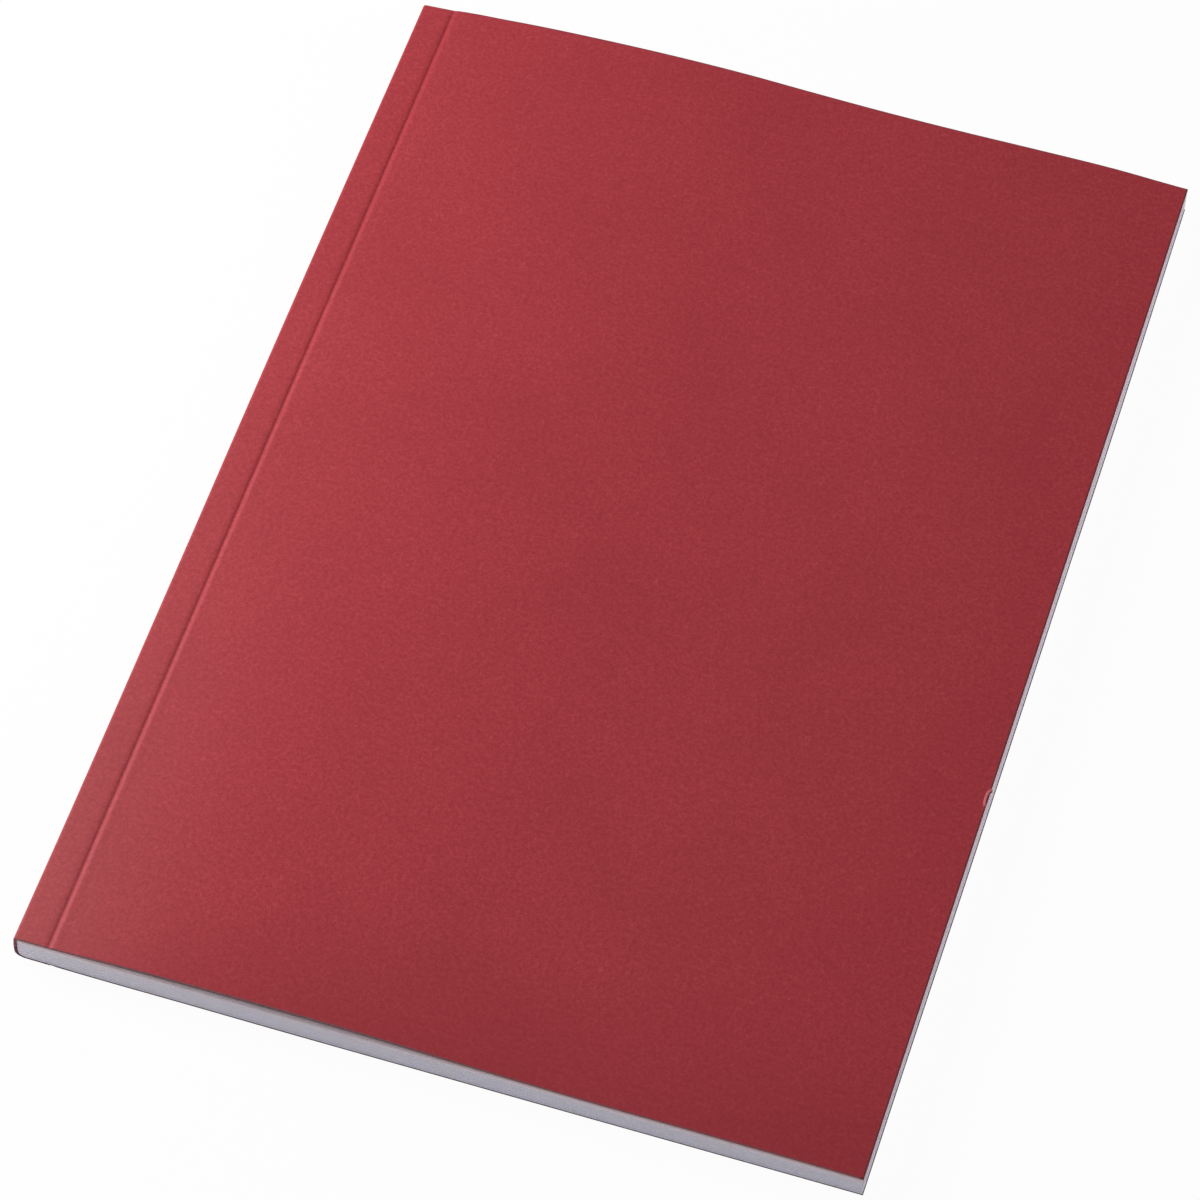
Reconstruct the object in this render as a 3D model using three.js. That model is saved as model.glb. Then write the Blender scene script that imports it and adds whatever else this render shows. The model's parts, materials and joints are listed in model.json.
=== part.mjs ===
import * as THREE from 'three';

// Softcover notebook lying on its back, in millimetres.
// Spine at -X, fore-edge at +X, head at +Y, tail at -Y, front cover on top.

// Trimmed format
const pageWidth = 148;
const pageHeight = 210;

// Paper and card
const leafCount = 48;
const leafThickness = 0.115;
const cardThickness = 0.4;

// Glue films
const spineGlue = 0.25;
const sideGlue = 0.08;
const sideGlueSetback = 0.5;
const glueSeamPastBend = 0.3;

// Bends of the cover round the spine, on its outer face
const frontBendRadius = 0.6;
const backBendRadius = 2;
const bendSteps = 10;

// Score lines that the cover panels fold at
const scoreFromSpine = 5.8;
const scoreHalfWidth = 0.28;
const scoreDepth = 0.14;

// How far the front cover stands off the leaves, at its highest line, and its shape in tenths of the
// panel's width from the score to the fore-edge
const headLift = 2.85;
const tailLift = 1.05;
const liftAtTenths = [0, 0.58, 0.89, 1, 0.94, 0.68, 0.47, 0.39, 0.4, 0.36, 0.07];
const liftStepsAcross = 40;
const liftStepsAlong = 12;

// Flex line of the first leaf, past the score, and how far the leaves turn
const firstFlexFromScore = 1.7;
const leftLeaves = leafCount / 2;
const leftTurnMostDegrees = 148;
const leftTurnLeastDegrees = 112;
const rightTurnMostDegrees = 38;
const rightTurnLeastDegrees = 2;
const flexAllowanceRatio = 1.03;

const blockThickness = leafCount * leafThickness;
const bookThickness = blockThickness + 2 * cardThickness;
const undersideOfFront = bookThickness - cardThickness;
const marginLeft = cardThickness + spineGlue;
const marginTop = undersideOfFront - sideGlue;
const marginBottom = cardThickness + sideGlue;
const frontSeam = frontBendRadius + glueSeamPastBend;
const backSeam = backBendRadius + glueSeamPastBend;

const cardRed = { color: 0xa03c47, roughness: 0.85, metalness: 0 };
const paperWhite = { color: 0xf1eff0, roughness: 0.9, metalness: 0 };
const glueCream = { color: 0xe6dfc8, roughness: 0.5, metalness: 0 };

const notebook = new THREE.Group();
notebook.name = 'softcover_notebook';

// Every corner is kept to a thousandth, so that neighbours meet on the very same values
function kept(value) {
  return Math.round(value * 1000) / 1000;
}

function addPiece(name, geometry, finish) {
  const piece = new THREE.Mesh(geometry, new THREE.MeshStandardMaterial(finish));
  piece.name = name;
  notebook.add(piece);
  return piece;
}

// A section across the spine, drawn as [distance from spine, height], run from tail to head
function alongSpine(outline) {
  const section = new THREE.Shape(outline.map(([x, z]) => new THREE.Vector2(kept(x), kept(z))));
  const solid = new THREE.ExtrudeGeometry(section, { depth: pageHeight, bevelEnabled: false });
  solid.rotateX(Math.PI / 2);
  solid.translate(-pageWidth / 2, pageHeight / 2, 0);
  return solid;
}

function box(x0, x1, z0, z1) {
  return alongSpine([[x0, z0], [x1, z0], [x1, z1], [x0, z1]]);
}

// Quarter bend about a centre, from one angle in quarter turns to the next
function bend(centreX, centreZ, radiusX, radiusZ, fromQuarter, toQuarter) {
  return Array.from({ length: bendSteps + 1 }, (_, step) => {
    const angle = (fromQuarter + (toQuarter - fromQuarter) * step / bendSteps) * Math.PI / 2;
    return [centreX + radiusX * Math.cos(angle), centreZ + radiusZ * Math.sin(angle)];
  });
}

// The inner face of the cover round the spine, from the front strip down to the back strip
function insideOfSpine() {
  const frontInner = frontBendRadius - cardThickness;
  const backInner = backBendRadius - cardThickness;
  const frontCentreZ = bookThickness - frontBendRadius;
  return [
    ...bend(frontBendRadius, frontCentreZ, frontInner, frontInner, 1, 2),
    ...bend(backBendRadius, backBendRadius, backInner, backInner, 2, 3),
  ];
}

function coverSpine() {
  const frontCentreZ = bookThickness - frontBendRadius;
  return alongSpine([
    [scoreFromSpine, bookThickness - scoreDepth],
    [scoreFromSpine - scoreHalfWidth, bookThickness],
    ...bend(frontBendRadius, frontCentreZ, frontBendRadius, frontBendRadius, 1, 2),
    ...bend(backBendRadius, backBendRadius, backBendRadius, backBendRadius, 2, 3),
    [scoreFromSpine - scoreHalfWidth, 0],
    [scoreFromSpine, scoreDepth],
    [scoreFromSpine, cardThickness],
    ...insideOfSpine().reverse(),
    [scoreFromSpine, undersideOfFront],
  ]);
}

function backCover() {
  return alongSpine([
    [scoreFromSpine, scoreDepth],
    [scoreFromSpine + scoreHalfWidth, 0],
    [pageWidth, 0],
    [pageWidth, cardThickness],
    [scoreFromSpine, cardThickness],
  ]);
}

// The panel's rise above its flat place, as a share of its highest line's, smoothed between tenths
const liftCurve = new THREE.SplineCurve(
  liftAtTenths.map((rise, tenth) => new THREE.Vector2(tenth, rise)),
);

function liftAt(acrossShare, alongShare) {
  const highest = tailLift + (headLift - tailLift) * alongShare;
  return Math.max(0, liftCurve.getPoint(acrossShare).y) * highest;
}

// The front panel is a thin sheet on a grid, closed by its four cut edges
function frontCover() {
  const panelWidth = pageWidth - scoreFromSpine;
  const columns = [0, scoreHalfWidth / panelWidth];
  for (let step = 1; step <= liftStepsAcross; step += 1) columns.push(step / liftStepsAcross);
  const across = columns.length;
  const along = liftStepsAlong + 1;
  const positions = [];
  const faces = [];

  for (const side of ['top', 'bottom']) {
    for (let row = 0; row < along; row += 1) {
      for (let column = 0; column < across; column += 1) {
        const share = columns[column];
        const rise = liftAt(share, row / liftStepsAlong);
        const creased = side === 'top' && column === 0 ? scoreDepth : 0;
        const flat = side === 'top' ? bookThickness - creased : undersideOfFront;
        positions.push(
          kept(scoreFromSpine + share * panelWidth - pageWidth / 2),
          kept((row / liftStepsAlong - 0.5) * pageHeight),
          kept(flat + rise),
        );
      }
    }
  }

  const corner = (side, row, column) => side * along * across + row * across + column;
  const quad = (a, b, c, d) => faces.push(a, b, c, a, c, d);
  const [top, bottom] = [0, 1];
  for (let row = 0; row < along - 1; row += 1) {
    for (let column = 0; column < across - 1; column += 1) {
      const ring = [[row, column], [row, column + 1], [row + 1, column + 1], [row + 1, column]];
      quad(...ring.map(([r, c]) => corner(top, r, c)));
      quad(...ring.reverse().map(([r, c]) => corner(bottom, r, c)));
    }
  }
  const closeEdge = (from, to) => quad(
    corner(bottom, ...from), corner(bottom, ...to), corner(top, ...to), corner(top, ...from),
  );
  for (let column = 0; column < across - 1; column += 1) {
    closeEdge([0, column], [0, column + 1]);
    closeEdge([along - 1, column + 1], [along - 1, column]);
  }
  for (let row = 0; row < along - 1; row += 1) {
    closeEdge([row, across - 1], [row + 1, across - 1]);
    closeEdge([row + 1, 0], [row, 0]);
  }

  const sheet = new THREE.BufferGeometry();
  sheet.setAttribute('position', new THREE.Float32BufferAttribute(positions, 3));
  sheet.setIndex(faces);
  sheet.computeVertexNormals();
  return sheet;
}

// Leaves on the left of the opening turn far, those on its right only fan
function leafTurn(leaf) {
  const onLeft = leaf < leftLeaves;
  const place = onLeft ? leaf / (leftLeaves - 1) : (leaf - leftLeaves) / (leafCount - leftLeaves - 1);
  const [most, least] = onLeft ? [leftTurnMostDegrees, leftTurnLeastDegrees] : [rightTurnMostDegrees, rightTurnLeastDegrees];
  return most + (least - most) * place;
}

// Each leaf flexes a little farther out than the one above it, so that turned leaves never cross:
// the step is the leaf's thickness times the tangent of half its turn
const flexLines = [];
for (let leaf = 0; leaf < leafCount; leaf += 1) {
  const halfTurn = leaf ? leafTurn(leaf - 1) / 2 : 0;
  const step = leafThickness * Math.tan(THREE.MathUtils.degToRad(halfTurn)) * flexAllowanceRatio;
  const before = leaf ? flexLines[leaf - 1].x + step : scoreFromSpine + firstFlexFromScore;
  flexLines.push({ x: kept(before), z: kept(undersideOfFront - leaf * leafThickness) });
}

function leafSheet(leaf) {
  const { x, z } = flexLines[leaf];
  return box(x, pageWidth, z - leafThickness, z);
}

// The back corner of the glued leaves, rounded inside the cover's back bend
function backCornerOfLeaves() {
  return bend(
    backBendRadius, backBendRadius, backBendRadius - marginLeft, backBendRadius - marginBottom, 3, 2,
  );
}

// The glued margin of all the leaves, stepped where the leaves start
function bindingMargin() {
  const steps = flexLines.flatMap(({ x, z }, leaf) => [
    [x, leaf ? z : marginTop],
    [x, leaf === leafCount - 1 ? marginBottom : z - leafThickness],
  ]);
  return alongSpine([[marginLeft, marginTop], ...steps, ...backCornerOfLeaves()]);
}

function spineGlueFilm() {
  return alongSpine([
    [frontSeam, undersideOfFront],
    ...insideOfSpine(),
    [backSeam, cardThickness],
    [backSeam, marginBottom],
    ...backCornerOfLeaves(),
    [marginLeft, marginTop],
    [frontSeam, marginTop],
  ]);
}

addPiece('cover_spine', coverSpine(), cardRed);
addPiece('front_cover', frontCover(), cardRed);
addPiece('back_cover', backCover(), cardRed);
addPiece('binding_margin', bindingMargin(), paperWhite);
addPiece('spine_glue', spineGlueFilm(), glueCream);

const sideGlueEnd = scoreFromSpine - sideGlueSetback;
addPiece('front_side_glue', box(frontSeam, sideGlueEnd, marginTop, undersideOfFront), glueCream);
addPiece('back_side_glue', box(backSeam, sideGlueEnd, cardThickness, marginBottom), glueCream);

for (let leaf = 0; leaf < leafCount; leaf += 1) {
  addPiece(`leaf_${String(leaf + 1).padStart(2, '0')}`, leafSheet(leaf), paperWhite);
}

export default notebook;
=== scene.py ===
import json
import math
import random

import bmesh
import bpy
from mathutils import Matrix, Vector
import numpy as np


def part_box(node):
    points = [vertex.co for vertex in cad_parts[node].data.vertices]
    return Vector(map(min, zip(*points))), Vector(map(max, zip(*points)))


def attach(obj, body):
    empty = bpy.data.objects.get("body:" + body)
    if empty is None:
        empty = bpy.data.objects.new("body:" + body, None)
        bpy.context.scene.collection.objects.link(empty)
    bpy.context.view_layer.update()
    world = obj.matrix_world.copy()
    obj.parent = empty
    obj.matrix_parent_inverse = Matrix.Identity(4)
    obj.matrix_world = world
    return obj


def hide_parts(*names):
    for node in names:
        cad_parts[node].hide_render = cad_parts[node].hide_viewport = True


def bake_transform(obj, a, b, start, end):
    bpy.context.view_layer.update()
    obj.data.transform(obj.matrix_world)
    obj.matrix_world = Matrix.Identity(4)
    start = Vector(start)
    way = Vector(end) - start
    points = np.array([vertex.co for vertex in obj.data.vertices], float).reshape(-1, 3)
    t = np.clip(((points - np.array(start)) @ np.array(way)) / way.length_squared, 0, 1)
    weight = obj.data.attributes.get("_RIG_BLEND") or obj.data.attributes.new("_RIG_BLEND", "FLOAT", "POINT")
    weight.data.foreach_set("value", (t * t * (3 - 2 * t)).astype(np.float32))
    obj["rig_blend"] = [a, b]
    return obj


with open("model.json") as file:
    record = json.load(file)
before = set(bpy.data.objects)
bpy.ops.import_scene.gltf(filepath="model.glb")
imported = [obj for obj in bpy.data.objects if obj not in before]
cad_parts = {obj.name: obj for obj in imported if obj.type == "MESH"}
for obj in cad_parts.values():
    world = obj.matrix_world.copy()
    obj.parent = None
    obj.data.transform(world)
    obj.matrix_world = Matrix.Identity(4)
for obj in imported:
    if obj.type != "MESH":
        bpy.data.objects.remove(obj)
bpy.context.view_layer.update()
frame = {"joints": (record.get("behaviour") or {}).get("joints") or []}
print("stage: frame loaded")

mm = 0.001
random.seed(7)

joints = {joint["name"]: joint for joint in frame["joints"]}
spineLow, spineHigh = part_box("cover_spine")
backLow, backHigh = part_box("back_cover")
marginLow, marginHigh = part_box("binding_margin")

spineX = spineLow[0]  # outer face of the spine
foreX = backHigh[0]  # fore-edge
tailY, headY = backLow[1], backHigh[1]
bookTop = spineHigh[2]  # outer face of the front strip
cardThickness = backHigh[2] - backLow[2]
scoreX = joints["front_cover_hinge"]["pos_m"][0]
panelWidth = foreX - scoreX
bookLength = headY - tailY


# Camera, solved from the notebook's outline

cameraView = {
    "azimuth": 19.74,
    "elevation": 57.46,
    "roll": -2.065,
    "distance": 0.8815,
    "lens": 149.76,  # on a 36 mm sensor
    "aim": (-0.00329, -0.00631, -0.00308),
}


def makeCamera(view):
    azimuth, elevation = math.radians(view["azimuth"]), math.radians(view["elevation"])
    forward = Vector((
        -math.cos(elevation) * math.sin(azimuth),
        math.cos(elevation) * math.cos(azimuth),
        -math.sin(elevation),
    ))
    level = forward.cross(Vector((0, 0, 1))).normalized()
    upright = level.cross(forward)
    axes = Matrix((level, upright, -forward)).transposed().to_4x4()
    camera = bpy.data.cameras.new("photoCamera")
    camera.lens = view["lens"]
    camera.sensor_width = 36
    camera.sensor_fit = "HORIZONTAL"
    camera.clip_start = 0.01
    cameraObject = bpy.data.objects.new("photoCamera", camera)
    bpy.context.collection.objects.link(cameraObject)
    place = Matrix.Translation(Vector(view["aim"]) - forward * view["distance"])
    cameraObject.matrix_world = place @ axes @ Matrix.Rotation(math.radians(view["roll"]), 4, "Z")
    bpy.context.scene.camera = cameraObject


makeCamera(cameraView)
print("stage: camera set")


# Node helpers

def addNode(tree, kind, inputs=None, **settings):
    node = tree.nodes.new(kind)
    for name, value in settings.items():
        setattr(node, name, value)
    for name, value in (inputs or {}).items():
        if isinstance(value, bpy.types.NodeSocket):
            tree.links.new(value, node.inputs[name])
        else:
            node.inputs[name].default_value = value
    return node


def startGroup(name, sizes, masks):
    group = bpy.data.node_groups.new(name, "ShaderNodeTree")
    group.interface.new_socket("Vector", in_out="INPUT", socket_type="NodeSocketVector")
    for label, value in sizes.items():
        socket = group.interface.new_socket(label, in_out="INPUT", socket_type="NodeSocketFloat")
        socket.default_value = value
    for label in masks:
        group.interface.new_socket(label, in_out="OUTPUT", socket_type="NodeSocketFloat")
    return group, group.nodes.new("NodeGroupInput"), group.nodes.new("NodeGroupOutput")


def useGroup(tree, group, vector, sizes):
    node = tree.nodes.new("ShaderNodeGroup")
    node.node_tree = group
    tree.links.new(vector, node.inputs["Vector"])
    for label, value in sizes.items():
        node.inputs[label].default_value = value
    return node


def calculate(tree, operation, first, second=0.0):
    return addNode(tree, "ShaderNodeMath", {0: first, 1: second}, operation=operation).outputs[0]


def easeMask(tree, value, low, high):
    return addNode(tree, "ShaderNodeMapRange", {
        "Value": value, "From Min": low, "From Max": high,
    }, interpolation_type="SMOOTHSTEP").outputs[0]


# The Mix node's colour sockets share their names with its others, so they go by number
def mixColour(tree, mask, strength, first, second):
    factor = calculate(tree, "MULTIPLY", mask, strength)
    mix = addNode(tree, "ShaderNodeMix", {0: factor, 6: first, 7: second}, data_type="RGBA")
    return mix.outputs[2]


# Colours laid over the first one, each through its mask at its strength
def layColours(tree, values, first, *layers):
    colour = values[first]
    for mask, strength, name in layers:
        colour = mixColour(tree, mask, strength, colour, values[name])
    return colour


def readLayers(tree, *labels):
    nodes = [addNode(tree, "ShaderNodeAttribute", attribute_name=label) for label in labels]
    return [node.outputs["Fac"] for node in nodes]


def objectPlace(tree):
    return tree.nodes.new("ShaderNodeTexCoord").outputs["Object"]


# Pulp: soft clouds, a finer mottle and a grain
def makePulpGroup():
    group, start, end = startGroup("pulp", {
        "Cloud Size": 0.03, "Mottle Size": 0.0012, "Grain Size": 0.0003,
    }, ["Clouds", "Mottle", "Grain"])
    for label, size, detail in (
        ("Clouds", "Cloud Size", 2), ("Mottle", "Mottle Size", 3), ("Grain", "Grain Size", 2),
    ):
        noise = addNode(group, "ShaderNodeTexNoise", {
            "Vector": start.outputs["Vector"],
            "Scale": calculate(group, "DIVIDE", 1.0, start.outputs[size]),
            "Detail": detail,
            "Roughness": 0.55,
        })
        group.links.new(noise.outputs["Fac"], end.inputs[label])
    return group


# Fibres: thin winding lines where a twisted noise crosses its middle, kept here and there
def makeFibreGroup():
    group, start, end = startGroup("fibres", {
        "Fibre Size": 0.0016, "Thickness": 0.03, "Amount": 0.5,
    }, ["Fibres"])
    scale = calculate(group, "DIVIDE", 1.0, start.outputs["Fibre Size"])
    twisted = addNode(group, "ShaderNodeTexNoise", {
        "Vector": start.outputs["Vector"], "Scale": scale, "Detail": 1.0, "Distortion": 1.6,
    })
    fromMiddle = calculate(group, "SUBTRACT", twisted.outputs["Fac"], 0.5)
    line = addNode(group, "ShaderNodeMapRange", {
        "Value": calculate(group, "ABSOLUTE", fromMiddle), "From Max": start.outputs["Thickness"],
        "To Min": 1.0, "To Max": 0.0,
    })
    shifted = addNode(group, "ShaderNodeVectorMath", {
        0: start.outputs["Vector"], 1: (3.1, 7.7, 1.9),
    }, operation="ADD")
    patches = addNode(group, "ShaderNodeTexNoise", {
        "Vector": shifted.outputs[0],
        "Scale": calculate(group, "MULTIPLY", scale, 0.8),
        "Detail": 0.0,
    })
    threshold = calculate(group, "SUBTRACT", 1.0, start.outputs["Amount"])
    kept = calculate(group, "GREATER_THAN", patches.outputs["Fac"], threshold)
    group.links.new(calculate(group, "MULTIPLY", line.outputs[0], kept), end.inputs["Fibres"])
    return group


# Specks: small dots in a few of the cells of a Voronoi pattern
def makeSpeckGroup():
    group, start, end = startGroup("specks", {
        "Spacing": 0.004, "Speck Size": 0.08, "Amount": 0.3,
    }, ["Specks"])
    cells = addNode(group, "ShaderNodeTexVoronoi", {
        "Vector": start.outputs["Vector"],
        "Scale": calculate(group, "DIVIDE", 1.0, start.outputs["Spacing"]),
    })
    dot = addNode(group, "ShaderNodeMapRange", {
        "Value": cells.outputs["Distance"], "From Max": start.outputs["Speck Size"],
        "To Min": 1.0, "To Max": 0.0,
    }, interpolation_type="SMOOTHSTEP")
    chance = addNode(group, "ShaderNodeSeparateColor", {"Color": cells.outputs["Color"]})
    chosen = calculate(group, "LESS_THAN", chance.outputs["Red"], start.outputs["Amount"])
    group.links.new(calculate(group, "MULTIPLY", dot.outputs[0], chosen), end.inputs["Specks"])
    return group


pulpGroup = makePulpGroup()
fibreGroup = makeFibreGroup()
speckGroup = makeSpeckGroup()
print("stage: shader groups built")


# Materials

redCard = {
    "base": (0.375, 0.0335, 0.0440, 1),
    "deep": (0.275, 0.0225, 0.0300, 1),
    "light": (0.475, 0.0565, 0.0700, 1),
    "darkFleck": (0.150, 0.0140, 0.0200, 1),
    "paleFleck": (0.600, 0.1900, 0.2000, 1),
    "worn": (0.720, 0.1900, 0.2050, 1),  # where the card is creased or scratched, and a painted highlight on the groove's lit wall
    "faded": (0.640, 0.3400, 0.3200, 1),  # painted sheen by the spine, towards the tail
    "trimmedRim": (0.225, 0.0450, 0.0550, 1),
    "foreRim": (0.110, 0.0240, 0.0300, 1),  # painted shade on the fore-edge's rim
    "cutEdge": (0.262, 0.1010, 0.1060, 1),
    "cutLight": (0.350, 0.1490, 0.1540, 1),
    # painted shade on the fore-edge's cut face
    "cutHandled": (0.100, 0.0320, 0.0370, 1),
    "cutSoiled": (0.125, 0.0680, 0.1020, 1),  # painted shade on the back cover's cut edge
    "roughness": 0.8,
    "unevenness": 0.07,  # of the roughness
    "specular": 0.26,
    "cutRoughness": 0.95,
    "cutSpecular": 0.0,  # the white floor would shine in a cut edge
    "bumpDepth": 0.00002,
}

whitePaper = {
    "base": (0.800, 0.782, 0.828, 1),
    "shade": (0.750, 0.728, 0.782, 1),
    "fleck": (0.560, 0.520, 0.520, 1),
    "edgeLight": (0.850, 0.832, 0.915, 1),
    "edgeShade": (0.715, 0.692, 0.775, 1),
    "edgeWarm": (0.800, 0.762, 0.800, 1),
    "edgePink": (0.950, 0.775, 0.785, 1),  # the top leaves: colour rubbed off the red cover, and painted pink bounce light from it
    # painted shadow of the cover's overhang on the top leaves at the tail
    "edgeStain": (0.470, 0.300, 0.270, 1),
    "roughness": 0.86,
    "specular": 0.2,
    "bumpDepth": 0.000006,
}

bindingGlue = {
    "base": (0.150, 0.055, 0.065, 1),  # a thin clear film that shows the card behind it
    "thick": (0.230, 0.130, 0.100, 1),
    "roughness": 0.42,
    "specular": 0.4,
    "bumpDepth": 0.00004,
}


def startMaterial(name, roughness, specular):
    material = bpy.data.materials.new(name)
    material.use_nodes = True
    tree = material.node_tree
    tree.nodes.clear()
    shader = addNode(tree, "ShaderNodeBsdfPrincipled", {
        "Roughness": roughness, "Specular IOR Level": specular,
    })
    output = tree.nodes.new("ShaderNodeOutputMaterial")
    tree.links.new(shader.outputs[0], output.inputs["Surface"])
    return material, tree, shader


def addBump(tree, shader, height, depth):
    bump = addNode(tree, "ShaderNodeBump", {"Height": height, "Distance": depth})
    tree.links.new(bump.outputs[0], shader.inputs["Normal"])


# Card face: the pattern follows the sheet's own flat map, so that it stays put where the card bends
def makeCardFace(values):
    material, tree, shader = startMaterial("redCard", values["roughness"], values["specular"])
    flat = addNode(tree, "ShaderNodeUVMap", uv_map="sheetFlat").outputs[0]
    turned = addNode(tree, "ShaderNodeMapping", {
        "Vector": flat, "Location": (0.4, 0.9, 0), "Rotation": (0, 0, 0.9),
    }).outputs[0]
    pulp = useGroup(tree, pulpGroup, flat, {
        "Cloud Size": 0.026, "Mottle Size": 0.00075, "Grain Size": 0.00027,
    })
    paleFibres = useGroup(tree, fibreGroup, flat, {
        "Fibre Size": 0.0019, "Thickness": 0.026, "Amount": 0.5,
    })
    darkFibres = useGroup(tree, fibreGroup, turned, {
        "Fibre Size": 0.0015, "Thickness": 0.034, "Amount": 0.48,
    })
    paleSpecks = useGroup(tree, speckGroup, flat, {
        "Spacing": 0.0052, "Speck Size": 0.05, "Amount": 0.3,
    })
    darkSpecks = useGroup(tree, speckGroup, turned, {
        "Spacing": 0.0036, "Speck Size": 0.08, "Amount": 0.26,
    })
    mottle, grain, clouds = (pulp.outputs[label] for label in ("Mottle", "Grain", "Clouds"))
    rim, scuff, foreSide, fading, handled = readLayers(
        tree, "rim", "scuff", "foreSide", "fading", "handled",
    )
    colour = layColours(
        tree, values, "base",
        (easeMask(tree, mottle, 0.46, 0.7), 0.46, "deep"),
        (easeMask(tree, mottle, 0.5, 0.28), 0.42, "light"),
        (easeMask(tree, grain, 0.5, 0.7), 0.7, "deep"),
        (easeMask(tree, grain, 0.46, 0.28), 0.5, "light"),
        (easeMask(tree, clouds, 0.35, 0.7), 0.22, "deep"),
        (paleFibres.outputs[0], 0.55, "light"),
        (darkFibres.outputs[0], 0.6, "deep"),
        (paleSpecks.outputs[0], 0.35, "paleFleck"),
        (darkSpecks.outputs[0], 0.55, "darkFleck"),
        # painted shade, darker along the tail margin
        (handled, 0.55, "deep"),
        # painted sheen, lighter by the spine towards the tail
        (fading, 0.118, "faded"),
    )
    # on the fore-edge the rim takes painted shade
    rimColour = mixColour(tree, foreSide, 0.95, values["trimmedRim"], values["foreRim"])
    colour = mixColour(tree, easeMask(tree, rim, 0.1, 0.6), 0.9, colour, rimColour)
    # pale where creased or scratched, and a painted highlight on the groove's wall
    colour = mixColour(tree, scuff, 0.95, colour, values["worn"])
    tree.links.new(colour, shader.inputs["Base Color"])
    height = calculate(tree, "ADD", mottle, calculate(tree, "MULTIPLY", grain, 0.6))
    raisedFibres = calculate(tree, "MULTIPLY", paleFibres.outputs[0], 0.35)
    height = calculate(tree, "ADD", height, raisedFibres)
    addBump(tree, shader, height, values["bumpDepth"])
    roughness = addNode(tree, "ShaderNodeMapRange", {
        "Value": mottle, "From Min": 0.3, "From Max": 0.7,
        "To Min": values["roughness"] - values["unevenness"],
        "To Max": values["roughness"] + values["unevenness"],
    })
    tree.links.new(roughness.outputs[0], shader.inputs["Roughness"])
    return material


# Cut edge of the card: darker, with a fine pulp, and painted shade on the fore-edge's cut and on the back
# cover's cut
def makeCardCut(values):
    material, tree, shader = startMaterial(
        "redCardCut", values["cutRoughness"], values["cutSpecular"],
    )
    pulp = useGroup(tree, pulpGroup, objectPlace(tree), {
        "Cloud Size": 0.012, "Mottle Size": 0.0005, "Grain Size": 0.00012,
    })
    foreSide, soiled = readLayers(tree, "foreSide", "soiled")
    colour = layColours(
        tree, values, "cutEdge",
        (easeMask(tree, pulp.outputs["Mottle"], 0.4, 0.7), 0.9, "cutLight"),
        # painted shade on the fore-edge's cut
        (foreSide, 0.9, "cutHandled"),
        # painted shade on the back cover's cut
        (soiled, 0.9, "cutSoiled"),
    )
    tree.links.new(colour, shader.inputs["Base Color"])
    addBump(tree, shader, pulp.outputs["Grain"], values["bumpDepth"] * 2)
    return material


def makePaperFace(values):
    material, tree, shader = startMaterial("whitePaper", values["roughness"], values["specular"])
    place = objectPlace(tree)
    pulp = useGroup(tree, pulpGroup, place, {
        "Cloud Size": 0.012, "Mottle Size": 0.0021, "Grain Size": 0.0002,
    })
    fibres = useGroup(tree, fibreGroup, place, {
        "Fibre Size": 0.0022, "Thickness": 0.02, "Amount": 0.5,
    })
    specks = useGroup(tree, speckGroup, place, {
        "Spacing": 0.007, "Speck Size": 0.03, "Amount": 0.2,
    })
    mottle = easeMask(tree, pulp.outputs["Mottle"], 0.35, 0.7)
    colour = layColours(
        tree, values, "base",
        (mottle, 0.5, "shade"),
        (fibres.outputs[0], 0.12, "fleck"),
        (specks.outputs[0], 0.4, "fleck"),
    )
    tree.links.new(colour, shader.inputs["Base Color"])
    height = calculate(tree, "ADD", pulp.outputs["Grain"], mottle)
    addBump(tree, shader, height, values["bumpDepth"])
    return material


# Trimmed edges of the leaves: each leaf has its own tone, and soft streaks of the knife run across
def makePaperCut(values):
    material, tree, shader = startMaterial("whitePaperCut", values["roughness"], values["specular"])
    drawn = addNode(tree, "ShaderNodeMapping", {
        "Vector": objectPlace(tree), "Rotation": (0, 0.5, 0), "Scale": (1, 1, 0.3),
    }).outputs[0]
    streaks = useGroup(tree, pulpGroup, drawn, {
        "Cloud Size": 0.011, "Mottle Size": 0.0013, "Grain Size": 0.0003,
    })
    leafTone, rubbed, stained = readLayers(tree, "leafTone", "rubbed", "stained")
    colour = layColours(
        tree, values, "edgeLight",
        (leafTone, 0.7, "edgeShade"),
        (easeMask(tree, streaks.outputs["Mottle"], 0.35, 0.7), 0.35, "edgeShade"),
        (easeMask(tree, streaks.outputs["Clouds"], 0.35, 0.7), 0.45, "edgeWarm"),
        # on the top leaves, rubbed colour and painted pink bounce light from the cover
        (rubbed, 0.8, "edgePink"),
        # painted shadow under the cover's overhang, on the top leaves at the tail
        (stained, 0.8, "edgeStain"),
    )
    tree.links.new(colour, shader.inputs["Base Color"])
    addBump(tree, shader, streaks.outputs["Grain"], values["bumpDepth"] * 3)
    return material


def makeGlue(values):
    material, tree, shader = startMaterial("bindingGlue", values["roughness"], values["specular"])
    pulp = useGroup(tree, pulpGroup, objectPlace(tree), {
        "Cloud Size": 0.005, "Mottle Size": 0.0009, "Grain Size": 0.0002,
    })
    clouds = easeMask(tree, pulp.outputs["Clouds"], 0.4, 0.65)
    colour = layColours(tree, values, "base", (clouds, 0.6, "thick"))
    tree.links.new(colour, shader.inputs["Base Color"])
    addBump(tree, shader, pulp.outputs["Mottle"], values["bumpDepth"])
    return material


cardFace = makeCardFace(redCard)
cardCut = makeCardCut(redCard)
paperFace = makePaperFace(whitePaper)
paperCut = makePaperCut(whitePaper)
glueFinish = makeGlue(bindingGlue)
print("stage: materials made")


# Sheet modelling

def evenly(start, stop, count):
    return [start + (stop - start) * step / count for step in range(count + 1)]


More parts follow.
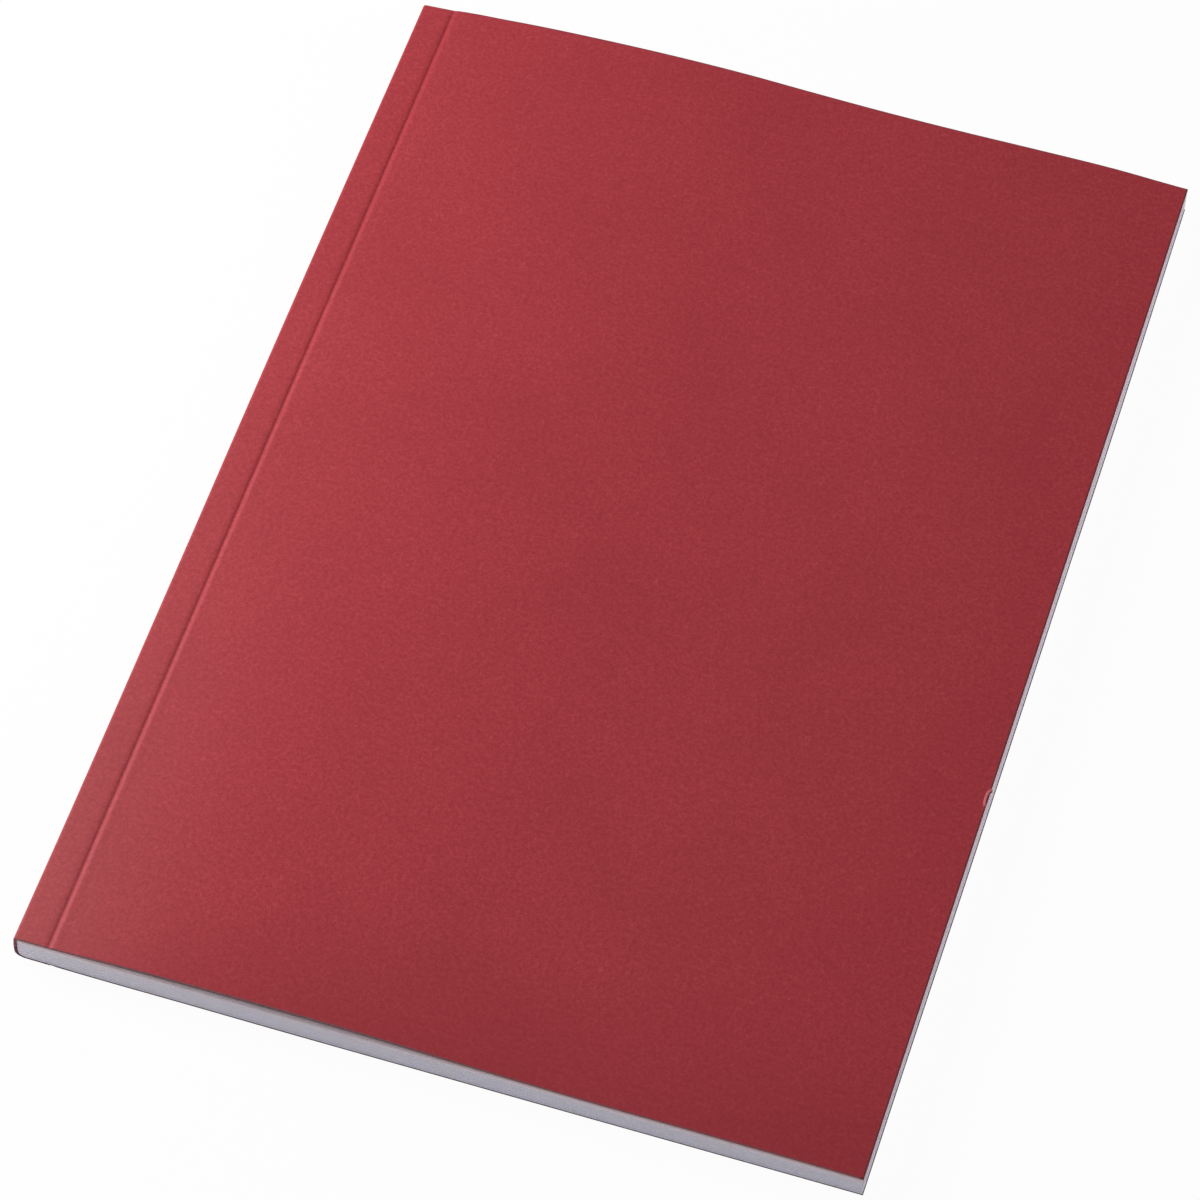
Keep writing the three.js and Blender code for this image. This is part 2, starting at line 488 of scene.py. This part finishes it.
# A share kept from 0 to 1, and one that starts and ends gently
def held(share):
    return min(max(share, 0), 1)


def eased(share):
    return share * share * (3 - 2 * share)


# A smooth curve through evenly spaced values, read at a share of its length
def readCurve(values, share):
    last = len(values) - 1
    position = held(share) * last
    index = min(int(position), last - 1)
    part = position - index
    before, here, there, after = (values[min(max(index + step, 0), last)] for step in (-1, 0, 1, 2))
    bend = before - 2.5 * here + 2 * there - 0.5 * after
    twist = 1.5 * (here - there) + 0.5 * (after - before)
    return here + part * (0.5 * (there - before) + part * (bend + part * twist))


# The profile's vertices, joined, then drawn from tail to head through each row: an open sheet, or a
# closed bar with both ends filled
def drawSheet(profile, rows, closed=False):
    mesh = bmesh.new()
    line = [mesh.verts.new((x, rows[0], z)) for x, z in profile]
    edges = [mesh.edges.new(pair) for pair in zip(line, line[1:])]
    if closed:
        edges.append(mesh.edges.new((line[-1], line[0])))
    for before, row in zip(rows, rows[1:]):
        drawn = bmesh.ops.extrude_edge_only(mesh, edges=edges)["geom"]
        moved = {part for part in drawn if isinstance(part, bmesh.types.BMVert)}
        bmesh.ops.translate(mesh, verts=list(moved), vec=(0, row - before, 0))
        edges = [
            part for part in drawn
            if isinstance(part, bmesh.types.BMEdge) and moved.issuperset(part.verts)
        ]
    if closed:
        ends = [edge for edge in mesh.edges if edge.is_boundary]
        bmesh.ops.holes_fill(mesh, edges=ends, sides=0)
        bmesh.ops.recalc_face_normals(mesh, faces=mesh.faces[:])
    return mesh


# Thickness on the inner side: upward is True for a sheet whose outer face looks up
def thicken(mesh, thickness, upward):
    bmesh.ops.recalc_face_normals(mesh, faces=mesh.faces[:])
    widest = max(mesh.faces, key=lambda face: abs(face.normal.z) * face.calc_area())
    if (widest.normal.z > 0) != upward:
        bmesh.ops.reverse_faces(mesh, faces=mesh.faces[:])
    bmesh.ops.solidify(mesh, geom=mesh.faces[:], thickness=thickness)


# Measures on the vertices, which the materials read: all are added before any is found
def addLayers(mesh, *labels):
    for label in labels:
        mesh.verts.layers.float.new(label)


def findLayers(mesh, *labels):
    return [mesh.verts.layers.float[label] for label in labels]


def finishMesh(mesh, name, materials, smoothAngle=35):
    data = bpy.data.meshes.new(name)
    mesh.to_mesh(data)
    mesh.free()
    piece = bpy.data.objects.new(name, data)
    bpy.context.collection.objects.link(piece)
    for material in materials:
        data.materials.append(material)
    data.shade_smooth()
    data.set_sharp_from_angle(angle=math.radians(smoothAngle))
    return piece


# Shape of the whole book

# How far the front panel stands off the leaves at the head and at the tail, in millimetres, at
# tenths of its width from the score, and the quick rise just past the score
bow = {
    "head": [0.4, 1.8, 2.54, 2.85, 2.68, 1.94, 1.34, 1.11, 1.14, 1.03, 0.2],
    "tail": [0.04, 0.78, 1.06, 1.22, 0.98, 0.4, 0.06, 0.02, 0.03, 0.02, 0.0],
    "shoulderHeight": 0.3,
    "shoulderReach": 12 * mm,
}

# The spine leans out towards the back cover and bellies a little, by tenths from tail to head
spineSwell = {
    "top": 0.42 * mm,
    "bottom": 0.72 * mm,
    "belly": 0.22 * mm,
    "along": [0.97, 0.68, 0.6, 0.65, 0.7, 0.85, 0.94, 0.94, 0.88, 0.77, 0.65],
}

# Two trimmed sides aren't dead straight: how far they spread, in millimetres, by tenths from tail
# to head on the fore-edge, and from spine to fore-edge on the tail
edgeSpread = {
    "foreTop": [0, 0.01, 0.04, 0.06, 0.1, 0.13, 0.14, 0.15, 0.18, 0.2, 0.16],
    "foreBottom": [-0.13, -0.1, -0.03, 0.04, 0.06, 0.09, 0.12, 0.22, 0.21, 0.1, -0.01],
    "tailTop": [0.02, 0.04, 0, 0, 0, 0.04, 0.1, 0.17, 0.11, 0.1, 0.15],
    "tailBottom": [0.1, 0.21, 0.2, 0.24, 0.23, 0.2, 0.2, 0.17, 0.13, 0.09, 0.06],
    "backLip": 0.11,  # the back cover's fore-edge stands out a little under the leaves
    "tailUndercut": 0.035,  # and its tail edge leans in under them
    "backShare": 0.9,  # what lies under this share of the card's thickness is the back cover's
}

coverCard = {
    "frontBend": 0.5 * mm,
    "backBend": 1.6 * mm,
    "grooveLeft": 0.46 * mm,
    "grooveRight": 0.94 * mm,
    "tailGroove": 0.19 * mm,
    "headGroove": 0.18 * mm,
    "headRunOut": 1.2 * mm,  # the groove grows shallow here, down to a share of its depth
    "headShare": 0.3,
    "tailRidge": 0.07 * mm,  # the card swells beside the groove, more towards the tail
    "headRidge": 0.03 * mm,
    "ridgeWidth": 1.6 * mm,
    "ridgeWear": 0.2,
    "wearPlace": 0.6,  # in widths of the groove's right wall
    "wearFall": 1.6,
    "foldHalfWidth": 0.4 * mm,
    "spineSteps": 4,
    "bendSteps": 8,
    "stripSteps": 6,
    "grooveSteps": 9,
    "panelSteps": 52,
    "panelEnd": 3 * mm,  # from the fore-edge, and from there the columns lie closer
    "foreColumns": [2.2, 1.6, 1.2, 0.95, 0.78, 0.64, 0.53, 0.44, 0.37, 0.3, 0.22, 0.14, 0.07, 0],
    "rowSteps": 60,
    "rowInset": 1.2 * mm,
    "rimWidth": 0.3 * mm,
    "rimGrowth": 14 * mm,  # past the score, until the rim is at its darkest
    "spineRim": 0.35,
    "foreRimShare": 0.75,
    "fadeReach": 42 * mm,
    "handledReach": 16 * mm,
    "nearCut": 0.1 * mm,
    "cutBevel": 0.06 * mm,
    "mergeWithin": 0.001 * mm,
    "stripEnd": 5.3 * mm,  # how far the side glue reaches in from the spine
}


def between(atTail, atHead, y):
    return atTail + (atHead - atTail) * (y - tailY) / bookLength


# The strip beside the spine climbs to its score, and the panel goes on from there. The shoulder's
# factor of 6.75 brings the top of its hump to 1
def bowHeight(x, y):
    across = (x - scoreX) / panelWidth
    lift = between(readCurve(bow["tail"], across), readCurve(bow["head"], across), y)
    past = held((x - scoreX) / bow["shoulderReach"])
    lift += between(0, bow["shoulderHeight"], y) * 6.75 * past * (1 - past) ** 2
    return max(0.0, lift) * mm * held((x - spineX) / (scoreX - spineX))


def spreadAt(side, share, height):
    top, bottom = (readCurve(edgeSpread[side + level], share) for level in ("Top", "Bottom"))
    return (bottom + (top - bottom) * height) * mm


def spreadSides(mesh):
    for vert in mesh.verts:
        x, y, z = vert.co
        height = held(z / bookTop)
        across, along = (x - spineX) / (foreX - spineX), (y - tailY) / bookLength
        lean = spineSwell["bottom"] + (spineSwell["top"] - spineSwell["bottom"]) * height
        lean += spineSwell["belly"] * math.sin(math.pi * height)
        lean *= readCurve(spineSwell["along"], along)
        atSpine = held((scoreX - x) / (scoreX - spineX))
        foreSpread = spreadAt("fore", along, height)
        tailSpread = spreadAt("tail", across, height)
        if z > cardThickness * edgeSpread["backShare"]:
            tailSpread += edgeSpread["tailUndercut"] * mm * (1 - height)
        else:
            foreSpread += edgeSpread["backLip"] * mm
        vert.co.x += max(0, 2 * across - 1) * foreSpread - atSpine * lean
        vert.co.y -= max(0, 1 - 2 * along) * tailSpread


# The leaves' glued edge follows the cover's rounded back bend
def gluedEdgeX(z):
    radius = coverCard["backBend"]
    if z >= radius:
        return marginLow[0]
    reach = spineX + radius - marginLow[0]
    drop = min(1.0, (radius - z) / (radius - marginLow[2]))
    return spineX + radius - reach * math.sqrt(1 - drop * drop)


# Cover: one card sheet in two pieces that meet in the middle of the spine's face

nick = {
    "y": -30.4 * mm,
    "halfLength": 1.85 * mm,
    "depth": 0.5 * mm,
    "drop": 0.13 * mm,
    "lipHeight": 0.12 * mm,
    "lipShare": 0.5,
    "flapFirmness": 2.2,
    "lipPaleness": 2.2,
    "tipY": -28.75 * mm,
    "tipReach": 0.24 * mm,
    "tipRadius": 0.46 * mm,
    "tipPaleness": 1.6,
    "rowReach": 2.4 * mm,  # to either side of the nick the rows lie closer
    "rowsClear": 3 * mm,
    "rowSteps": 36,
}


def coverRows(withNick):
    rim, inset = coverCard["rimWidth"], coverCard["rowInset"]
    rows = evenly(tailY + inset, headY - inset, coverCard["rowSteps"])
    if withNick:
        middle, reach = nick["y"], nick["rowReach"]
        rows = [row for row in rows if abs(row - middle) > nick["rowsClear"]]
        rows += evenly(middle - reach, middle + reach, nick["rowSteps"])
    return sorted([*rows, tailY, tailY + rim, headY - rim, headY])


# The sheet's columns from the spine's middle to the fore-edge
def coverProfile(seamZ, bendRadius, outerZ, scoreAt):
    side = 1 if outerZ > seamZ else -1
    centreZ = outerZ - side * bendRadius
    points = [(spineX, z) for z in evenly(seamZ, centreZ, coverCard["spineSteps"])[:-1]]
    for step in range(coverCard["bendSteps"] + 1):
        angle = step / coverCard["bendSteps"] * math.pi / 2
        points.append((
            spineX + bendRadius * (1 - math.cos(angle)),
            centreZ + side * bendRadius * math.sin(angle),
        ))
    grooveStart = scoreAt - coverCard["grooveLeft"]
    grooveEnd = scoreAt + coverCard["grooveRight"]
    ridgeEnd = grooveEnd + coverCard["ridgeWidth"]
    columns = []
    for start, end, steps in (
        (spineX + bendRadius, grooveStart, "stripSteps"), (grooveStart, scoreAt, "stripSteps"),
        (scoreAt, grooveEnd, "grooveSteps"), (grooveEnd, ridgeEnd, "grooveSteps"),
        (ridgeEnd, foreX - coverCard["panelEnd"], "panelSteps"),
    ):
        columns += evenly(start, end, coverCard[steps])[1:]
    columns += [foreX - distance * mm for distance in coverCard["foreColumns"]]
    return points + [(x, outerZ) for x in columns]


# The groove's height across it: down one wall, up the other on to the ridge, and off it again
def grooveRise(distance, y, ridgeShare):
    left, right, off = (coverCard[label] for label in ("grooveLeft", "grooveRight", "ridgeWidth"))
    depth = between(coverCard["tailGroove"], coverCard["headGroove"], y)
    fromHead = min(1, (headY - y) / coverCard["headRunOut"])
    depth *= coverCard["headShare"] + (1 - coverCard["headShare"]) * fromHead
    ridge = between(coverCard["tailRidge"], coverCard["headRidge"], y) * ridgeShare
    if -left < distance <= 0:
        return -depth * (1 + distance / left)
    if 0 < distance <= right:
        return -depth + (depth + ridge) * eased(distance / right)
    if right < distance < right + off:
        return ridge * eased(1 - (distance - right) / off)
    return 0.0


# The wall up to the ridge is painted pale: crease wear, and a painted highlight where the wall faces the
# window lamp
def ridgeWear(distance, y):
    offPlace = abs(distance / coverCard["grooveRight"] - coverCard["wearPlace"])
    return between(coverCard["ridgeWear"], 0, y) * max(0.0, 1 - coverCard["wearFall"] * offPlace)


# A fingernail's dent on the fore-edge: its flap is pressed down inside a pale raised lip
def shapeNick(mesh):
    scuff = mesh.verts.layers.float["scuff"]
    for vert in mesh.verts:
        fromEdge = foreX - vert.co.x
        along = (vert.co.y - nick["y"]) / nick["halfLength"]
        share = 1 - math.hypot(fromEdge / nick["depth"], along)
        lip = max(0.0, 1 - abs(share) / nick["lipShare"])
        if share > 0:
            vert.co.z -= nick["drop"] * min(1.0, nick["flapFirmness"] * eased(share))
        vert.co.z += nick["lipHeight"] * lip
        tip = max(0.0, 1 - math.hypot(fromEdge, vert.co.y - nick["tipY"]) / nick["tipRadius"])
        vert.co.x += nick["tipReach"] * tip
        paleLip = min(1.0, nick["lipPaleness"] * lip * max(0.0, 1 - along * along))
        vert[scuff] = max(vert[scuff], paleLip, min(1.0, nick["tipPaleness"] * tip))


# Marks on the face: a darker rim at the cuts, a mask of the fore-edge where rim and cut take painted shade,
# a painted sheen at the spine's tail corner, and painted shade along the tail margin
def markRimsAndPaintedLight(mesh):
    rim, foreSide, fading, handled = findLayers(mesh, "rim", "foreSide", "fading", "handled")
    for vert in mesh.verts:
        x, y = vert.co.xy
        fromSpine, fromFore = x - spineX, foreX - x
        fromCut = min(headY - abs(y), coverCard["foreRimShare"] * fromFore)
        past = held((x - scoreX) / coverCard["rimGrowth"])
        darkness = coverCard["spineRim"] + (1 - coverCard["spineRim"]) * past
        vert[rim] = darkness * max(0.0, 1 - fromCut / coverCard["rimWidth"])
        vert[foreSide] = 1 if fromFore < 2 * coverCard["rimWidth"] else 0
        bySpine = max(0.0, 1 - fromSpine / coverCard["fadeReach"])
        tailReach = coverCard["handledReach"] * (1 + fromSpine / (foreX - spineX))
        # painted sheen, strongest at the spine's tail corner
        vert[fading] = (bySpine * between(1, 0, y)) ** 2
        # painted shade along the tail margin, reaching further in towards the fore-edge
        vert[handled] = (1 - bySpine) * max(0.0, 1 - (y - tailY) / tailReach)


# The flat map holds each place's distance round the sheet and along it, in metres
def mapFlat(mesh, bendRadius, outerZ, side):
    flatMap = mesh.loops.layers.uv.new("sheetFlat")
    centreZ = outerZ - side * bendRadius
    bendX = spineX + bendRadius
    for face in mesh.faces:
        for loop in face.loops:
            x, y, z = loop.vert.co
            outward = side * (z - centreZ)
            if x >= bendX:
                around = x
            elif outward <= 0:
                around = bendX - bendRadius * math.pi / 2 + outward
            else:
                around = bendX - bendRadius * math.atan2(bendX - x, outward)
            loop[flatMap].uv = (around, y)


def markCutFaces(mesh):
    mesh.normal_update()
    for face in mesh.faces:
        centre = face.calc_center_median()
        atEnd = headY - abs(centre.y) < coverCard["nearCut"] and abs(face.normal.y) > 0.5
        atFore = foreX - centre.x < coverCard["nearCut"] and face.normal.x > 0.5
        face.material_index = 1 if atEnd or atFore else 0


def bevelCutEdges(mesh):
    sharp = [
        edge for edge in mesh.edges
        if len({face.material_index for face in edge.link_faces}) == 2
    ]
    rounded = bmesh.ops.bevel(
        mesh, geom=sharp, offset=coverCard["cutBevel"], offset_type="OFFSET", segments=2,
        profile=0.5, affect="EDGES", material=-1, clamp_overlap=True,
    )["faces"]
    for face in rounded:
        face.material_index = 1
    bmesh.ops.remove_doubles(mesh, verts=mesh.verts[:], dist=coverCard["mergeWithin"])
    bmesh.ops.dissolve_degenerate(mesh, edges=mesh.edges[:], dist=coverCard["mergeWithin"])


def makeCoverHalf(name, bendRadius, outerZ, scoreAt, isFront):
    side, frontShare = (1, 1) if isFront else (-1, 0)
    profile = coverProfile(bookTop / 2, bendRadius, outerZ, scoreAt)
    mesh = drawSheet(profile, coverRows(isFront))
    thicken(mesh, cardThickness, isFront)
    addLayers(mesh, "rim", "scuff", "foreSide", "fading", "handled", "soiled")
    mapFlat(mesh, bendRadius, outerZ, side)
    markCutFaces(mesh)
    markRimsAndPaintedLight(mesh)
    scuff, soiled = findLayers(mesh, "scuff", "soiled")
    for vert in mesh.verts:
        x, y, z = vert.co
        # the back sheet's cut edges take painted shade
        vert[soiled] = 1 - frontShare
        if abs(z - outerZ) < cardThickness / 2 and x > spineX + bendRadius:
            vert.co.z += side * grooveRise(x - scoreAt, y, frontShare)
            # crease wear and a painted highlight on the groove's right wall
            vert[scuff] = frontShare * ridgeWear(x - scoreAt, y)
        if isFront:
            vert.co.z += bowHeight(x, y)
    if isFront:
        shapeNick(mesh)
    bevelCutEdges(mesh)
    spreadSides(mesh)
    return finishMesh(mesh, name, [cardFace, cardCut])


def foldCover(piece, panelBody, hingeX, hingeZ):
    half = coverCard["foldHalfWidth"]
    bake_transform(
        piece, "bound_spine", panelBody,
        start=(hingeX - half, 0, hingeZ), end=(hingeX + half, 0, hingeZ),
    )


frontHalf = makeCoverHalf("cover_front_sheet", coverCard["frontBend"], bookTop, scoreX, True)
foldCover(frontHalf, "front_panel", scoreX, bookTop)
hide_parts("front_cover", "cover_spine")

backScoreX = joints["back_cover_hinge"]["pos_m"][0]
backHalf = makeCoverHalf("cover_back_sheet", coverCard["backBend"], backLow[2], backScoreX, False)
foldCover(backHalf, "back_panel", backScoreX, backLow[2])
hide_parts("back_cover")
print("stage: cover made")


# Leaves: each a whole sheet from the glue to the fore-edge, folding at its own flex line

leafSheet = {
    "count": 48,
    "gapShare": 0.05,
    "foldWidth": 0.5 * mm,
    "stripSteps": 3,
    "foldSteps": 5,
    "panelSteps": 26,
    "rowSteps": 14,
    "trimSpread": 0.035 * mm,
    "bowShares": [0.6, 0.48, 0.38, 0.29, 0.22, 0.16, 0.11, 0.07, 0.04, 0.02],
    "rubbedLeaves": 20,  # counted from the top
    "stainedLeaves": 7,
    "stainReach": 1 * mm,  # from the tail
}


# Under the glued strips the stack is pressed together by the thickness of the side glue
def pressedZ(x, z, flexX):
    gluedX = spineX + coverCard["stripEnd"]
    share = held((flexX - x) / (flexX - gluedX))
    leafShare = (z - cardThickness) / (bookTop - 2 * cardThickness)
    pressed = marginLow[2] + leafShare * (marginHigh[2] - marginLow[2])
    return z + share * (pressed - z)


def makeLeaf(index):
    name = f"leaf_{index + 1:02d}"
    low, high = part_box(name)
    flexX = joints[f"{name}_turn"]["pos_m"][0]
    foldEnd = flexX + leafSheet["foldWidth"]
    startY, endY, endX = (
        place + side * random.uniform(0, leafSheet["trimSpread"])
        for place, side in ((low[1], 1), (high[1], -1), (high[0], -1))
    )
    stripEnd = spineX + coverCard["stripEnd"]
    columns = evenly(gluedEdgeX(low[2]), stripEnd, leafSheet["stripSteps"])
    columns += evenly(stripEnd, flexX, leafSheet["stripSteps"])[1:]
    columns += evenly(flexX, foldEnd, leafSheet["foldSteps"])[1:]
    columns += evenly(foldEnd, endX, leafSheet["panelSteps"])[1:]
    mesh = drawSheet([(x, high[2]) for x in columns], evenly(startY, endY, leafSheet["rowSteps"]))
    thicken(mesh, (high[2] - low[2]) * (1 - leafSheet["gapShare"]), True)
    mesh.normal_update()
    for face in mesh.faces:
        face.material_index = 0 if abs(face.normal.z) > 0.5 else 1
    addLayers(mesh, "leafTone", "rubbed", "stained")
    leafTone, rubbed, stained = findLayers(mesh, "leafTone", "rubbed", "stained")
    tone = random.random()
    share = leafSheet["bowShares"][index] if index < len(leafSheet["bowShares"]) else 0
    for vert in mesh.verts:
        x, y, z = vert.co
        atTail = 1 if y < tailY + leafSheet["stainReach"] else 0
        vert[leafTone] = tone
        # rubbed colour and painted bounce light, fading down the stack
        vert[rubbed] = max(0.0, 1 - index / leafSheet["rubbedLeaves"])
        # painted shadow under the cover's overhang
        vert[stained] = atTail * max(0.0, 1 - index / leafSheet["stainedLeaves"])
        lift = bowHeight(x, y) - bowHeight(flexX, y) if x > flexX else 0.0
        vert.co.z = pressedZ(x, z, flexX) + share * max(0.0, lift)
    spreadSides(mesh)
    leaf = finishMesh(mesh, f"{name}_sheet", [paperFace, paperCut])
    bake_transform(leaf, "bound_spine", name, start=(flexX, 0, high[2]), end=(foldEnd, 0, high[2]))
    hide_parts(*([name, "binding_margin"] if index == 0 else [name]))


for index in range(leafSheet["count"]):
    makeLeaf(index)
print("stage: leaves made")


# Glue: one film between the cover's inside and the leaves' edges, thin under both strips

glueFilm = {
    "frontSteps": 4,
    "backSteps": 7,
    "edgeSteps": 8,
    "rowSteps": 24,
    "setBack": 0.12 * mm,  # from the trimmed ends
    "overLeaves": 0.01 * mm,  # what lies higher stays on the front strip
    "smoothAngle": 50,
}


# The inside of a bend with the given outer radius, a quarter turn from the given angle
def insideBend(outerRadius, centreZ, fromAngle, steps):
    radius = outerRadius - cardThickness
    return [
        (spineX + outerRadius + radius * math.cos(angle), centreZ + radius * math.sin(angle))
        for angle in evenly(fromAngle, fromAngle + math.pi / 2, steps)
    ]


def glueSection(values):
    reach = spineX + coverCard["stripEnd"]
    front, back = coverCard["frontBend"], coverCard["backBend"]
    cardInside = [
        (reach, bookTop - cardThickness),
        *insideBend(front, bookTop - front, math.pi / 2, values["frontSteps"]),
        *insideBend(back, back, math.pi, values["backSteps"]),
        (reach, cardThickness),
    ]
    heights = evenly(marginLow[2], back, values["edgeSteps"]) + [marginHigh[2]]
    leafEdges = [(gluedEdgeX(z), z) for z in heights]
    return [*cardInside, (reach, marginLow[2]), *leafEdges, (reach, marginHigh[2])]


def makeGlueFilm(values):
    startY, endY = tailY + values["setBack"], headY - values["setBack"]
    mesh = drawSheet(glueSection(values), evenly(startY, endY, values["rowSteps"]), closed=True)
    for vert in mesh.verts:
        if vert.co.z > marginHigh[2] + values["overLeaves"]:
            vert.co.z += bowHeight(vert.co.x, vert.co.y)
    spreadSides(mesh)
    film = finishMesh(mesh, "binding_glue_film", [glueFinish], values["smoothAngle"])
    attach(film, "bound_spine")
    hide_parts("spine_glue", "front_side_glue", "back_side_glue")


makeGlueFilm(glueFilm)
print("stage: glue made")


# Studio: floor and world are white to the camera, a window lamp on the left gives the fall-off, and
# two low lamps fill the trimmed edges

studio = {
    "floorSize": 6.0,
    "floorBelow": 0.05 * mm,
    "shadowShare": 0.04,
    "worldColour": (0.93, 0.94, 1.0, 1),
    "worldStrength": 0.21,
}

lamps = {
    "windowLight": {
        "place": (-0.41, 0.025, 0.29), "aim": (-0.02, 0.02, 0), "size": 0.26, "power": 2.72,
        "colour": (1.0, 0.985, 0.98),
    },
    "foreEdgeFill": {
        "place": (0.8, 0.3, 0.1), "aim": (0.05, 0, 0), "size": 0.36, "power": 4.0,
        "colour": (1.0, 0.87, 0.88),
    },
    "tailFill": {
        "place": (0.05, -0.85, 0.08), "aim": (0, 0, 0), "size": 0.36, "power": 1.28,
        "colour": (0.93, 0.93, 1.0),
    },
}


# White to the rays that see a background, and the given surface to the light
def showWhite(tree, surface, whiteKind, outputKind, whiteShare):
    path = tree.nodes.new("ShaderNodeLightPath")
    seen = calculate(tree, "MAXIMUM", path.outputs["Is Camera Ray"], path.outputs["Is Glossy Ray"])
    seen = calculate(tree, "MAXIMUM", seen, path.outputs["Is Transmission Ray"])
    share = calculate(tree, "MULTIPLY", seen, whiteShare)
    white = addNode(tree, whiteKind, {"Color": (1, 1, 1, 1), "Strength": 1.0})
    blended = addNode(tree, "ShaderNodeMixShader", {0: share, 1: surface, 2: white.outputs[0]})
    output = tree.nodes.new(outputKind)
    tree.links.new(blended.outputs[0], output.inputs["Surface"])


def makeFloor(values):
    mesh = bmesh.new()
    bmesh.ops.create_grid(mesh, x_segments=2, y_segments=2, size=values["floorSize"] / 2)
    bmesh.ops.translate(mesh, verts=mesh.verts[:], vec=(0, 0, backLow[2] - values["floorBelow"]))
    material = bpy.data.materials.new("studioFloor")
    material.use_nodes = True
    tree = material.node_tree
    tree.nodes.clear()
    matt = addNode(tree, "ShaderNodeBsdfDiffuse", {"Color": (0.82, 0.82, 0.82, 1)})
    showWhite(
        tree, matt.outputs[0], "ShaderNodeEmission", "ShaderNodeOutputMaterial",
        1 - values["shadowShare"],
    )
    finishMesh(mesh, "studioFloor", [material])


def makeWorld(values):
    world = bpy.data.worlds.new("studioWorld")
    bpy.context.scene.world = world
    world.use_nodes = True
    tree = world.node_tree
    tree.nodes.clear()
    soft = addNode(tree, "ShaderNodeBackground", {
        "Color": values["worldColour"], "Strength": values["worldStrength"],
    })
    showWhite(tree, soft.outputs[0], "ShaderNodeBackground", "ShaderNodeOutputWorld", 1.0)


def makeLamp(name, values):
    light = bpy.data.lights.new(name, "AREA")
    light.shape = "SQUARE"
    light.size = values["size"]
    light.energy = values["power"]
    light.color = values["colour"]
    lamp = bpy.data.objects.new(name, light)
    bpy.context.collection.objects.link(lamp)
    lamp.location = values["place"]
    towards = Vector(values["aim"]) - Vector(values["place"])
    lamp.rotation_euler = towards.to_track_quat("-Z", "Y").to_euler()


makeFloor(studio)
makeWorld(studio)
for name, values in lamps.items():
    makeLamp(name, values)
bpy.context.scene.view_settings.view_transform = "Standard"
print("stage: studio set")
